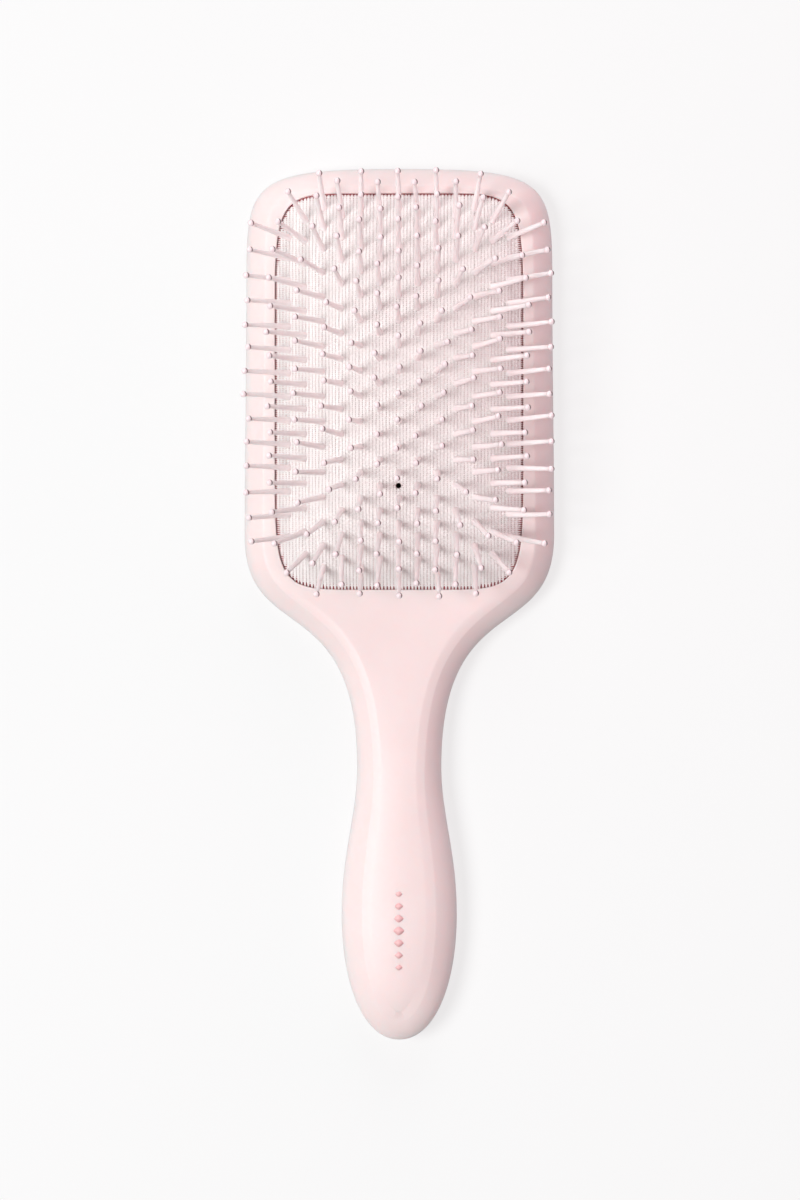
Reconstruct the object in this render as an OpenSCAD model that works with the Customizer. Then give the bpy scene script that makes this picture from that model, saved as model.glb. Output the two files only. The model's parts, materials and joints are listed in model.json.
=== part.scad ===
// Paddle hair brush: a hollow two-shell body, an air cushion with a woven
// facing, and 198 ball-tipped pins rooted in the cushion.
// X runs across the head, +Y points from the handle to the head end and +Z
// points the way the pins do. The origin lies on the back plane, under the
// middle of the cushion.

/* [Body] */
// Whole length from head end to handle end
overall_length = 245; // [240:1:256]
// Width of the head at its widest
head_width = 87.2; // [86:0.2:92]
// Width of the handle at the neck
neck_width = 23.7; // [22:0.1:26]
// Width of the handle at the grip
grip_width = 32.4; // [30:0.1:35]
// Thickness of the head
head_thickness = 13; // [13:0.5:15]
// Height of the grip crown over the head face
grip_rise = 3; // [2:0.1:5]
// Wall of both shells
wall = 2.2; // [2:0.1:2.5]

/* [Cushion] */
// Width of the cushion opening
opening_width = 69.6; // [69.2:0.2:70.6]
// Length of the cushion opening
opening_length = 111; // [110.6:0.2:112]
// Height of the cushion dome over its rim
dome_height = 12.5; // [9:0.5:13]
// Thickness of the rubber
rubber = 1.8; // [1.6:0.1:2]
// Thickness of the woven facing
facing = 0.4; // [0.3:0.05:0.5]
// Bore of the air vent
vent_bore = 1.5; // [1:0.1:2]

/* [Pins] */
// Length of a pin above the cushion
pin_length = 19; // [14:0.5:20]
// Thickness of a pin at its root
pin_root = 1.7; // [1.4:0.1:1.8]
// Thickness of a pin under its ball tip
pin_neck = 1.15; // [1:0.05:1.3]
// Diameter of the ball tip
ball = 1.8; // [1.6:0.1:2]

/* [Hidden] */
// Head end of the outline and handle end of it
head_end = 63;
tail_end = head_end - overall_length;

// Stations down the handle, and the stretches the body section changes over
shoulder_start = -40.2;
neck_at = -105.3;
grip_at = -146.6;
handle_span = [-58, -132];
shoulder_span = [shoulder_start, -75];
edge_span = [-90, grip_at];
tail_span = [-155, -178];

// Body section: the height the shells meet at, the rounded edges and the
// crowns. A turn is [first, last] angle of the edge: 0 is upright, 90 is flat.
head_parting = 6.5;
parting_rise = 1.6;
head_turn = [20, 50];
handle_turn = [14, 52];
tail_turn = [0, 74];
back_turn = [0, 66];
head_edge = 5.6;
grip_edge = 7.4;
joint_gap = 0.03;
inner_reach = 0.4;
inner_reach_drop = 0.9;
front_crown = 0.7;
back_crown = 1.1;
tail_start = -150;
tail_drop = 1.9;
tail_lift = 0.9;
edge_steps = 6;
crown_steps = 3;
crown_end = crown_steps + 0.5;

// Cushion seat in the front shell
rim_z = head_thickness - 1;
seat_gap = 0.35;
bead_reach = 1.7;
bead_low = rim_z - 2.9;
bead_high = rim_z - 1.1;
ledge_reach = 1.7;
well_floor = 4.6;
pan_wall = 1.6;

// Superellipse powers of the cushion plan and of the dome over it
plan_power = 7.4;
dome_power = 2.7;
plan_steps = 72;
dome_levels = [0.1, 0.3, 0.46, 0.6, 0.71, 0.8, 0.87, 0.93, 0.97, 1];

// Half sizes of the cushion, the level its facing ends at and how far off it lies
pad_half = [opening_width / 2 - seat_gap, opening_length / 2 - seat_gap];
facing_edge = 0.987;
facing_lift = 0.05;

// Pin lattice
columns = 6;
column_pitch = 5.3;
column_squeeze = 0.044;
row_pitch = 7;
row_squeeze = 0.045;
row_drift = 0.012;
lattice_middle = 1.6;
corner_squeeze = 0.06;

// How far a cut runs past the face it opens, and how far solids sink together
spare = 1;
bite = 0.1;

// Pin root below the rubber, and the groups the pins move in
flange_d = 3.2;
flange_t = 0.7;
flange_gap = 0.25;
pin_slack = 0.06;
pins_in_group = 12;
vent_y = -26.7;

// Locating pegs that join the shells: [x, y]
peg_spots = [[-13, -66], [13, -66], [0, -92], [0, -131], [0, -168]];
peg_d = 3;
boss_d = 6.4;
peg_depth = 3;
peg_slack = 0.1;
boss_gap = 0.2;

$fn = 24;

// ---------------------------------------------------------------- outline

function cubic(p, t) =
    pow(1 - t, 3) * p[0] + 3 * pow(1 - t, 2) * t * p[1]
    + 3 * (1 - t) * t * t * p[2] + pow(t, 3) * p[3];

function cubic_slope(p, t) =
    pow(1 - t, 2) * (p[1] - p[0]) + 2 * (1 - t) * t * (p[2] - p[1])
    + t * t * (p[3] - p[2]);

// One station of the outline: its point and the unit vector pointing inward
function station(p, t) =
    let (point = cubic(p, t))
    let (slope = cubic_slope(p, t))
    [point, [slope.y, -slope.x] / norm(slope)];

half_head = head_width / 2;
half_head_top = half_head - 0.5;
half_neck = neck_width / 2;
half_grip = grip_width / 2;

// Right half of the outline from head end to handle end: [curve, steps]
outline_curves = [
    [[[0, head_end], [half_head_top * 0.955, head_end],
      [half_head_top, head_end - 3.1], [half_head_top, head_end - 30.3]], 20],
    [[[half_head_top, head_end - 30.3], [half_head_top, 8],
      [half_head, -16], [half_head, shoulder_start]], 4],
    [[[half_head, shoulder_start], [half_head, shoulder_start - 31.3],
      [half_neck, neck_at + 50.5], [half_neck, neck_at]], 20],
    [[[half_neck, neck_at], [half_neck, neck_at - 13.5],
      [half_grip, grip_at + 17.5], [half_grip, grip_at]], 8],
    [[[half_grip, grip_at], [half_grip, grip_at - 20.5],
      [half_grip * 0.61, tail_end], [0, tail_end]], 16]
];

stations = concat(
    [for (c = outline_curves) for (i = [0 : c[1] - 1]) station(c[0], i / c[1])],
    [[[0, tail_end], [0, 1]]]
);
last_station = len(stations) - 1;

// Share that grows smoothly from 0 at the start of a span to 1 at its end
function blend(y, span) =
    let (t = max(0, min(1, (y - span[0]) / (span[1] - span[0]))))
    t * t * (3 - 2 * t);

// How much of the handle shape, and of the tail shape, applies at y
function handle_share(y) = blend(y, handle_span);
function tail_share(y) =
    pow(max(0, min(1, (y - tail_start) / (tail_end - tail_start))), 2);

// Along the body: the height the shells meet at, the width and turn of the
// rounded edge, and the heights of the front and back edges
function parting(y) = head_parting + parting_rise * handle_share(y);
function edge_width(y) =
    head_edge + (grip_edge - head_edge) * blend(y, edge_span);
function front_turn(y) =
    head_turn + (handle_turn - head_turn) * blend(y, shoulder_span)
    + (tail_turn - handle_turn) * blend(y, tail_span);
function front_edge_z(y) =
    head_thickness + (grip_rise - front_crown) * handle_share(y)
    - tail_drop * tail_share(y);
function back_edge_z(y) =
    back_crown * handle_share(y) + tail_lift * tail_share(y);

// Share of the full crown at a station: less where the handle is narrower
function crown_share(s) =
    let (y = s[0].y)
    let (reach = s[0].x + s[1].x * edge_width(y))
    handle_share(y) * min(1, max(0, reach) / (half_grip - grip_edge));

// A point of the body skin at one station. side is 1 or -1, inset moves it in
// from the outline, squeeze pulls it to the middle line.
function skin(s, side, inset, squeeze, z) =
    let (p = s[0] + s[1] * inset)
    [side * p.x * squeeze, p.y, z];

// The closed loop of skin points at level k. Levels 0 to edge_steps climb the
// rounded edge, the ones after that cross the crown. shrink is the wall
// thickness for the inside skin, 0 for the outside.
function front_loop(k, shrink) = mirrored([
    for (s = stations) [s, front_level(s, k, shrink)]
]);
function back_loop(k, shrink) = mirrored([
    for (s = stations) [s, back_level(s, k, shrink)]
]);

function mirrored(pairs) = concat(
    [for (i = [0 : last_station]) skin_of(pairs[i], 1)],
    [for (i = [last_station - 1 : -1 : 1]) skin_of(pairs[i], -1)]
);
function skin_of(pair, side) =
    skin(pair[0], side, pair[1][0], pair[1][1], pair[1][2]);

// How far in and how far up an edge of a given turn has come at level k
function arc_in(turn, k) =
    let (angle = turn[0] + (turn[1] - turn[0]) * min(k, edge_steps) / edge_steps)
    (cos(turn[0]) - cos(angle)) / (cos(turn[0]) - cos(turn[1]));
function arc_up(turn, k) =
    let (angle = turn[0] + (turn[1] - turn[0]) * min(k, edge_steps) / edge_steps)
    (sin(angle) - sin(turn[0])) / (sin(turn[1]) - sin(turn[0]));

// How far in the rounded edge ends on a skin that lies shrink inside the body
function inner_edge(y, shrink) =
    edge_width(y) + shrink * (inner_reach - inner_reach_drop * tail_share(y));

// [inset, squeeze, z] of level k at a station
function front_level(s, k, shrink) =
    let (y = s[0].y)
    let (top = front_edge_z(y) - shrink)
    let (over = max(0, k - edge_steps) / crown_end)
    [
        shrink + (inner_edge(y, shrink) - shrink) * arc_in(front_turn(y), k),
        1 - over,
        parting(y) + (top - parting(y)) * arc_up(front_turn(y), k)
            + front_crown * crown_share(s) * (1 - pow(1 - over, 2))
    ];
function back_level(s, k, shrink) =
    let (y = s[0].y)
    let (join = parting(y) - joint_gap)
    let (low = back_edge_z(y) + shrink)
    let (over = max(0, k - edge_steps) / crown_end)
    [
        shrink + (inner_edge(y, shrink) - shrink) * arc_in(back_turn, k),
        1 - over,
        join - (join - low) * arc_up(back_turn, k)
            - back_crown * crown_share(s) * (1 - pow(1 - over, 2))
    ];

// ------------------------------------------------------------------ lofts

// Triangles of the band between loop a and loop a + 1, each of n points
function band(a, n) = [
    for (i = [0 : n - 1])
        let (j = (i + 1) % n)
        for (face = [
            [a * n + i, a * n + n + i, a * n + n + j],
            [a * n + i, a * n + n + j, a * n + j]
        ]) face
];

// Strips that close a loop whose two halves mirror each other
function strips(first, n) = [
    for (i = [0 : n / 2 - 1])
        let (a = i)
        let (b = i + 1)
        let (c = (n - b) % n)
        let (d = (n - a) % n)
        for (face = concat(
            b == c ? [] : [[a, b, c]],
            a == d ? [] : [[a, c, d]]
        )) [for (v = face) first + v]
];

function flipped(faces) = [for (f = faces) [f[2], f[1], f[0]]];

// Closed solid through a list of loops; the first is closed from below and
// the last from above
module loft(loops) {
    n = len(loops[0]);
    last = len(loops) - 1;
    polyhedron(
        points = [for (loop = loops) for (p = loop) p],
        faces = concat(
            flipped(strips(0, n)),
            [for (a = [0 : last - 1]) for (face = band(a, n)) face],
            strips(last * n, n)
        )
    );
}

// Closed solid like loft(), its ends closed by fans around two centre points
module fan_loft(loops, low, high) {
    n = len(loops[0]);
    last = len(loops) - 1;
    low_i = len(loops) * n;
    polyhedron(
        points = concat([for (loop = loops) for (p = loop) p], [low, high]),
        faces = concat(
            [for (i = [0 : n - 1]) [(i + 1) % n, i, low_i]],
            [for (a = [0 : last - 1]) for (face = band(a, n)) face],
            [for (i = [0 : n - 1])
                [last * n + i, last * n + (i + 1) % n, low_i + 1]]
        )
    );
}

// ---------------------------------------------------------------- cushion

// Point of the cushion plan at angle t, for half sizes h
function plan_point(h, t) =
    let (c = cos(t))
    let (s = sin(t))
    [h.x * c, h.y * s]
    / pow(pow(abs(c), plan_power) + pow(abs(s), plan_power), 1 / plan_power);

function plan(h) = [
    for (i = [0 : plan_steps - 1]) plan_point(h, 90 - 360 * i / plan_steps)
];

// Height of the dome over its rim
function dome(x, y) =
    let (u = pow(abs(x) / pad_half.x, plan_power))
    let (v = pow(abs(y) / pad_half.y, plan_power))
    dome_height * (1 - pow(min(1, pow(u + v, 1 / plan_power)), dome_power));

function dome_normal(x, y) =
    let (e = 0.05)
    let (nx = (dome(x - e, y) - dome(x + e, y)) / (2 * e))
    let (ny = (dome(x, y - e) - dome(x, y + e)) / (2 * e))
    [nx, ny, 1] / norm([nx, ny, 1]);

function dome_loop(level, lift) = [
    for (p = plan(pad_half * level))
        [p.x, p.y, rim_z + lift + dome_height * (1 - pow(level, dome_power))]
];

// Sheet over the dome out to level edge, between two heights above it
module dome_sheet(edge, low, high) {
    last = len(dome_levels) - 1;
    top = rim_z + dome_height;
    levels = [for (level = dome_levels) min(level, edge)];
    fan_loft(
        concat(
            [for (i = [0 : last]) dome_loop(levels[i], low)],
            [for (i = [last : -1 : 0]) dome_loop(levels[i], high)]
        ),
        [0, 0, top + low],
        [0, 0, top + high]
    );
}

module slab(half, low, high) {
    translate([0, 0, low])
        linear_extrude(high - low)
            polygon(plan(half));
}

function widened(reach) = pad_half + [reach, reach];

// ------------------------------------------------------------------- pins

// Rows of one column: full columns alternate with staggered ones, and the
// outermost columns lose a row at each end
function row_reach(column) =
    abs(column) == columns ? 6.5 : column % 2 == 0 ? 7.5 : 7;

function pin_x(column) =
    column_pitch * column * (1 - column_squeeze * pow(abs(column) / columns, 4));
function pin_y(column, row) =
    let (ends = 1 - row_squeeze * pow(abs(row) / 7.5, 4))
    let (corners = 1 - corner_squeeze * pow(abs(column) / columns, 6))
    lattice_middle - row_pitch * row * ends * corners - row_drift * row * row;

lattice = [
    for (column = [-columns : columns])
        let (reach = row_reach(column))
        for (row = [-reach : reach])
            [pin_x(column), pin_y(column, row)]
];

// Pins ordered from the top of the dome down to its rim: [x, y, height]
function by_height(pins) =
    len(pins) < 2 ? pins :
    let (pivot = pins[floor(len(pins) / 2)][2])
    concat(
        by_height([for (p = pins) if (p[2] > pivot) p]),
        [for (p = pins) if (p[2] == pivot) p],
        by_height([for (p = pins) if (p[2] < pivot) p])
    );

pins = by_height([for (p = lattice) [p.x, p.y, dome(p.x, p.y)]]);

// Put the children at a pin root, with +Z along the pin
module at_pin(pin) {
    n = dome_normal(pin[0], pin[1]);
    translate([pin[0], pin[1], rim_z + pin[2]])
        rotate([0, acos(n.z), atan2(n.y, n.x)])
            children();
}

module one_pin(pin) {
    sink = rubber * dome_normal(pin[0], pin[1]).z + flange_gap;
    shaft = pin_length - ball / 2;
    at_pin(pin) {
        translate([0, 0, -sink - flange_t])
            cylinder(d = flange_d, h = flange_t);
        translate([0, 0, -sink - bite])
            cylinder(d1 = pin_root, d2 = pin_neck, h = shaft + sink + bite);
        translate([0, 0, shaft])
            sphere(d = ball);
    }
}

module pin_holes() {
    depth = rubber + 2 * spare;
    for (pin = pins)
        at_pin(pin)
            translate([0, 0, -depth])
                cylinder(d = pin_root + 2 * pin_slack, h = depth + 2 * spare, $fn = 16);
    translate([0, vent_y, rim_z])
        cylinder(d = vent_bore, h = dome_height + 2 * spare);
}

// ------------------------------------------------------------------ parts

module front_shell() {
    top = edge_steps + crown_steps;
    color([0.96, 0.86, 0.84])
    difference() {
        union() {
            loft(concat(
                [for (k = [top : -1 : 0]) front_loop(k, wall)],
                [for (k = [0 : top]) front_loop(k, 0)]
            ));
            slab(widened(bead_reach + pan_wall), bead_low - spare,
                head_thickness - wall / 2);
            slab(widened(pan_wall - ledge_reach), well_floor - pan_wall, bead_low);
            for (p = peg_spots)
                front_boss(p);
        }
        slab(widened(seat_gap), bead_high, head_thickness + spare);
        slab(widened(bead_reach + seat_gap / 2), bead_low - bite, bead_high + bite);
        slab(widened(-ledge_reach), well_floor, bead_low);
    }
}

module front_boss(p) {
    foot = parting(p.y) + boss_gap;
    ceiling = front_edge_z(p.y) - wall / 2;
    translate([p.x, p.y, foot])
        cylinder(d = boss_d, h = ceiling - foot);
    translate([p.x, p.y, foot - peg_depth])
        cylinder(d = peg_d, h = peg_depth + spare);
}

module back_shell() {
    top = edge_steps + crown_steps;
    color([0.94, 0.83, 0.82])
    difference() {
        union() {
            loft(concat(
                [for (k = [top : -1 : 0]) back_loop(k, 0)],
                [for (k = [0 : top]) back_loop(k, wall)]
            ));
            for (p = peg_spots)
                back_boss(p);
        }
        for (p = peg_spots)
            translate([p.x, p.y, parting(p.y) - peg_depth])
                cylinder(d = peg_d + 2 * peg_slack, h = peg_depth + spare);
    }
}

module back_boss(p) {
    floor_z = back_edge_z(p.y) + wall / 2 - back_crown * handle_share(p.y) / 2;
    translate([p.x, p.y, floor_z])
        cylinder(d = boss_d, h = parting(p.y) - boss_gap - floor_z);
}

module cushion_pad() {
    color([0.78, 0.5, 0.5])
    difference() {
        union() {
            dome_sheet(1, -rubber, 0);
            difference() {
                slab(widened(bead_reach), bead_low, bead_high);
                slab(widened(-ledge_reach - spare), bead_low - spare, bead_high + spare);
            }
        }
        pin_holes();
    }
}

module mesh_facing() {
    color([0.96, 0.9, 0.89])
    difference() {
        dome_sheet(facing_edge, facing_lift, facing_lift + facing);
        pin_holes();
    }
}

// Pins of one group: those whose roots ride at nearly the same height
module pin_group(number) {
    first = (number - 1) * pins_in_group;
    color([0.97, 0.88, 0.88])
    for (i = [first : min(first + pins_in_group, len(pins)) - 1])
        one_pin(pins[i]);
}

front_shell();
back_shell();
cushion_pad();
mesh_facing();
pin_group(1);  // pins_01
pin_group(2);  // pins_02
pin_group(3);  // pins_03
pin_group(4);  // pins_04
pin_group(5);  // pins_05
pin_group(6);  // pins_06
pin_group(7);  // pins_07
pin_group(8);  // pins_08
pin_group(9);  // pins_09
pin_group(10);  // pins_10
pin_group(11);  // pins_11
pin_group(12);  // pins_12
pin_group(13);  // pins_13
pin_group(14);  // pins_14
pin_group(15);  // pins_15
pin_group(16);  // pins_16
pin_group(17);  // pins_17
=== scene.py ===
"""Looks for the paddle brush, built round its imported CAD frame.

Shapes are worked out in millimetres and stored in metres, in the row frame:
X across the head, +Y towards the head end, +Z the way the pins point.
"""

import json
import math

import bmesh
import bpy
import numpy as np
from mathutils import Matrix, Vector
from mathutils.geometry import delaunay_2d_cdt


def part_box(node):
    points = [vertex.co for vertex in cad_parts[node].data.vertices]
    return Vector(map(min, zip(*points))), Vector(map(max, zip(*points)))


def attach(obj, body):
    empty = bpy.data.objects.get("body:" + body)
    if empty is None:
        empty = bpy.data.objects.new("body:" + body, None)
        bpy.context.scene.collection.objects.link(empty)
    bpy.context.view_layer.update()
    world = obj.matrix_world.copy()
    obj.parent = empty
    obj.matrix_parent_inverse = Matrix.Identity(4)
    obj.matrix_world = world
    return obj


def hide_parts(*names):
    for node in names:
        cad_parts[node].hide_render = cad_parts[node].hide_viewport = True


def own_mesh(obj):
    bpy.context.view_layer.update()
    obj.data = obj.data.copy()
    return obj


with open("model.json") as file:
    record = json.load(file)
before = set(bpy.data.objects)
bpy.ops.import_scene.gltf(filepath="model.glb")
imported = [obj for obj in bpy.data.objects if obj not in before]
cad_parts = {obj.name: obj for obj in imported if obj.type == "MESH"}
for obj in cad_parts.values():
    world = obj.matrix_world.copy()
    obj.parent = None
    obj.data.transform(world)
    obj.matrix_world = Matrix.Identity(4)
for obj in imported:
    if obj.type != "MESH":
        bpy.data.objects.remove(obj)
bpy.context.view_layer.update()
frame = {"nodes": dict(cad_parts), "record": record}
MM = 0.001
ROOT = "brush_body"
SEED = 11
rng = np.random.default_rng(SEED)


def box_mm(node):
    low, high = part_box(node)
    return np.array(low) / MM, np.array(high) / MM


# ---------------------------------------------------------------- body section
shell_low, shell_high = box_mm("front_shell")
HEAD_END, TAIL_END = shell_high[1], shell_low[1]
# Half widths, and the Y where the outline's curves meet
HALF_HEAD, HEAD_TAPER = shell_high[0], 0.5
HALF_HEAD_TOP = HALF_HEAD - HEAD_TAPER
HALF_NECK, HALF_GRIP = 11.85, 16.2
SHOULDER_START, NECK_AT, GRIP_AT = -40.2, -105.3, -146.6
# Handles of those curves: lengths, or for the long side their own Y
CORNER_SHARE, CORNER_DROP, CORNER_END = 0.955, 3.1, 30.3
SIDE_Y = 8, -16
SHOULDER_HANDLES = 31.3, 50.5
NECK_HANDLES = 13.5, 17.5
TAIL_HANDLE, TAIL_SHARE = 20.5, 0.61
CORNER_STEPS, SIDE_STEPS, SHOULDER_STEPS, NECK_STEPS, TAIL_STEPS = 64, 20, 64, 28, 56
# Heights: the flat face, the grip's rise over it, and the seam between the shells
HEAD_FACE = 13.0
GRIP_RISE = shell_high[2] - HEAD_FACE
HEAD_PARTING, PARTING_RISE = 6.5, 1.6
FRONT_CROWN, BACK_CROWN = 0.7, 1.1
TAIL_START, TAIL_DROP, TAIL_LIFT = -150.0, 1.9, 0.9
# The rounded edge: its first and last angle, its width, and the lip past its crease
HEAD_TURN, HANDLE_TURN = np.radians((20, 50)), np.radians((14, 52))
TAIL_TURN, BACK_TURN = np.radians((0, 74)), np.radians((0, 66))
HEAD_EDGE, GRIP_EDGE = 5.6, 7.4
HEAD_LIP, HANDLE_LIP = 0.25, 0.8
# Share of its turn that the edge leaves out along the handle, for a softer crease
HANDLE_EASE = 0.11
# Half width over which the crown dies away at the handle's end
TIP_REACH = 4.0
# The Y over which each of these blends from one value to the next
HANDLE_SPAN, SHOULDER_SPAN = (-58, -132), (SHOULDER_START, -75)
EDGE_SPAN, TAIL_SPAN = (-90, GRIP_AT), (-155, -178)


def cubic(p, t):
    """Point on a cubic Bezier curve."""
    p = np.array(p, float)
    return (
        (1 - t) ** 3 * p[0]
        + 3 * (1 - t) ** 2 * t * p[1]
        + 3 * (1 - t) * t * t * p[2]
        + t**3 * p[3]
    )


def cubic_slope(p, t):
    """A third of that curve's derivative, enough for its direction."""
    p = np.array(p, float)
    return (
        (1 - t) ** 2 * (p[1] - p[0])
        + 2 * (1 - t) * t * (p[2] - p[1])
        + t * t * (p[3] - p[2])
    )


def outline_stations():
    """Right half of the outline: points and inward unit normals, head end first."""
    top, side = HALF_HEAD_TOP, HALF_HEAD
    corner_end = HEAD_END - CORNER_END
    curves = [
        ([[0, HEAD_END], [top * CORNER_SHARE, HEAD_END],
          [top, HEAD_END - CORNER_DROP], [top, corner_end]], CORNER_STEPS),
        ([[top, corner_end], [top, SIDE_Y[0]],
          [side, SIDE_Y[1]], [side, SHOULDER_START]], SIDE_STEPS),
        ([[side, SHOULDER_START], [side, SHOULDER_START - SHOULDER_HANDLES[0]],
          [HALF_NECK, NECK_AT + SHOULDER_HANDLES[1]],
          [HALF_NECK, NECK_AT]], SHOULDER_STEPS),
        ([[HALF_NECK, NECK_AT], [HALF_NECK, NECK_AT - NECK_HANDLES[0]],
          [HALF_GRIP, GRIP_AT + NECK_HANDLES[1]],
          [HALF_GRIP, GRIP_AT]], NECK_STEPS),
        ([[HALF_GRIP, GRIP_AT], [HALF_GRIP, GRIP_AT - TAIL_HANDLE],
          [HALF_GRIP * TAIL_SHARE, TAIL_END], [0, TAIL_END]], TAIL_STEPS),
    ]
    points, normals = [], []
    for curve, steps in curves:
        for i in range(steps):
            t = i / steps
            slope = cubic_slope(curve, t)
            points.append(cubic(curve, t))
            normals.append(np.array([slope[1], -slope[0]]) / np.linalg.norm(slope))
    points.append(np.array([0, TAIL_END]))
    normals.append(np.array([0.0, 1.0]))
    return np.array(points), np.array(normals)


def blend(y, span):
    """Smooth step: 0 at span[0], 1 at span[1]."""
    t = np.clip((y - span[0]) / (span[1] - span[0]), 0, 1)
    return t * t * (3 - 2 * t)


def handle_share(y):
    return blend(y, HANDLE_SPAN)


def tail_share(y):
    return np.clip((y - TAIL_START) / (TAIL_END - TAIL_START), 0, 1) ** 2


def parting(y):
    return HEAD_PARTING + PARTING_RISE * handle_share(y)


def edge_width(y):
    return HEAD_EDGE + (GRIP_EDGE - HEAD_EDGE) * blend(y, EDGE_SPAN)


def front_edge_z(y):
    return (HEAD_FACE + (GRIP_RISE - FRONT_CROWN) * handle_share(y)
            - TAIL_DROP * tail_share(y))


def back_edge_z(y):
    return BACK_CROWN * handle_share(y) + TAIL_LIFT * tail_share(y)


# Per station: outline point, inward normal, share of the softer handle crease,
# inner line of the crease (CREST) and half width of the face inside it (REACH)
POINTS, NORMALS = outline_stations()
LAST = len(POINTS) - 1
SOFT = blend(POINTS[:, 1], SHOULDER_SPAN)
CREASE_LIP = HEAD_LIP + (HANDLE_LIP - HEAD_LIP) * SOFT
CREST = POINTS + NORMALS * (edge_width(POINTS[:, 1]) + CREASE_LIP).reshape(-1, 1)
REACH = POINTS[:, 0] + NORMALS[:, 0] * edge_width(POINTS[:, 1])
CROWN_SHARE = handle_share(POINTS[:, 1])
CROWN_SHARE *= np.clip(REACH / (HALF_GRIP - GRIP_EDGE), 0, 1)
# The crown dies away faster still where the crease lines close in on each other
CROWN_SHARE *= np.clip(REACH / TIP_REACH, 0, 1)


def mirrored(points):
    """Closed loop from the right half: up the right side, back up the left."""
    left = points[-2:0:-1].copy()
    left[:, 0] *= -1
    return np.vstack([points, left])


def skin_loop(inset, z):
    """Loop of skin points, inset from the outline, at height z per station."""
    flat = POINTS + NORMALS * np.reshape(inset, (-1, 1))
    return mirrored(np.column_stack([flat, np.broadcast_to(z, len(flat))]))


def edge_turn(sign):
    """First and last angle of the rounded edge at every station."""
    y = POINTS[:, 1, None]
    if sign < 0:
        return np.broadcast_to(BACK_TURN, (len(y), 2))
    return (HEAD_TURN + (HANDLE_TURN - HEAD_TURN) * blend(y, SHOULDER_SPAN)
            + (TAIL_TURN - HANDLE_TURN) * blend(y, TAIL_SPAN))


def edge_point(sign, share):
    """How far in and how far up the rounded edge is at a share of its turn."""
    first, last = edge_turn(sign).T
    angle = first + (last - first) * share
    return ((np.cos(first) - np.cos(angle)) / (np.cos(first) - np.cos(last)),
            (np.sin(angle) - np.sin(first)) / (np.sin(last) - np.sin(first)))


# ---------------------------------------------------------------- mesh helpers
# How strongly large faces win over small ones when normals are weighted
FACE_WEIGHT = 80


def add_object(name, data):
    obj = bpy.data.objects.new(name, data)
    bpy.context.scene.collection.objects.link(obj)
    return obj


class Builder:
    """Collects points and faces of one piece, in millimetres."""

    def __init__(self):
        self.points, self.faces, self.slots, self.count = [], [], [], 0

    def add(self, points):
        """Adds points and returns the first one's number."""
        first = self.count
        self.points.append(np.asarray(points, float))
        self.count += len(points)
        return first

    def face(self, *corners, slot=0):
        self.faces.append(corners)
        self.slots.append(slot)

    def band(self, a, b, n, slot=0):
        """Quads between the closed loops of n points that start at a and b."""
        for i in range(n):
            j = (i + 1) % n
            self.face(a + i, a + j, b + j, b + i, slot=slot)

    def strips(self, first, n, up):
        """Closes a loop whose two halves mirror each other."""
        for i in range(n // 2):
            corners = [first + i, first + i + 1,
                       first + (n - i - 1) % n, first + (n - i) % n]
            corners = [c for k, c in enumerate(corners) if c not in corners[:k]]
            self.face(*(corners[::-1] if up else corners))

    def fan(self, first, n, centre, reverse=False):
        """Triangles between the closed loop of n points at first and a centre."""
        for i in range(n):
            a, b = first + i, first + (i + 1) % n
            self.face(*((b, a, centre) if reverse else (a, b, centre)))

    def cap(self, first, n, reverse=False, slot=0):
        """One face over the closed loop of n points at first."""
        corners = [first + i for i in range(n)]
        self.face(*(corners[::-1] if reverse else corners), slot=slot)

    def mesh(self, name):
        mesh = bpy.data.meshes.new(name)
        mesh.from_pydata((np.vstack(self.points) * MM).tolist(), [], self.faces)
        return mesh

    def build(self, name, materials, body, slot, replaces=(), normals=False):
        """Makes the piece: its mesh, outward normals, body and material slots from its
        faces. Its slot argument is not used.
        """
        mesh = self.mesh(name)
        for material in materials:
            mesh.materials.append(material)
        mesh.polygons.foreach_set("material_index", self.slots)
        mesh.polygons.foreach_set("use_smooth", [True] * len(self.faces))
        mesh.validate()
        outward = bmesh.new()
        outward.from_mesh(mesh)
        bmesh.ops.recalc_face_normals(outward, faces=outward.faces)
        outward.to_mesh(mesh)
        outward.free()
        obj = add_object(name, mesh)
        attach(obj, body)
        if replaces:
            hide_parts(*replaces)
        if normals:
            weighted = obj.modifiers.new("face normals", "WEIGHTED_NORMAL")
            weighted.keep_sharp = True
            weighted.weight = FACE_WEIGHT
        return obj


# ------------------------------------------------------------------- materials
BLACK, WHITE = (0, 0, 0), (1, 1, 1)
# Two tones for each material, which its noise drifts between
PAINT_TONES = (0.888, 0.735, 0.725), (0.912, 0.762, 0.752)
RUBBER_TONES = (0.76, 0.58, 0.57), (0.84, 0.66, 0.65)
# The deep red below is painted shade for the narrow gap round the cushion, where the
# pale rubber lies in shade
RIM_PAINTED_SHADE_TONES = (0.36, 0.055, 0.075), (0.44, 0.075, 0.095)
THREAD_TONES = (0.915, 0.855, 0.845), (0.95, 0.90, 0.89)
SHAFT_TONES = (0.93, 0.815, 0.82), (0.955, 0.86, 0.862)
BALL_TONES = (0.93, 0.77, 0.80), (0.95, 0.82, 0.84)
INK_TONES = (0.89, 0.49, 0.50), (0.92, 0.57, 0.57)
FLOOR_TONES = (0.20, 0.20, 0.20), (0.207, 0.207, 0.207)
# The painted shade on a ball, a dark crescent on its side away from the key light: its
# colour, and the way it faces
BALL_PAINTED_SHADE, BALL_PAINTED_SHADE_WAY = (0.13, 0.06, 0.065), (0.95, 0.2, -0.18)
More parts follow.
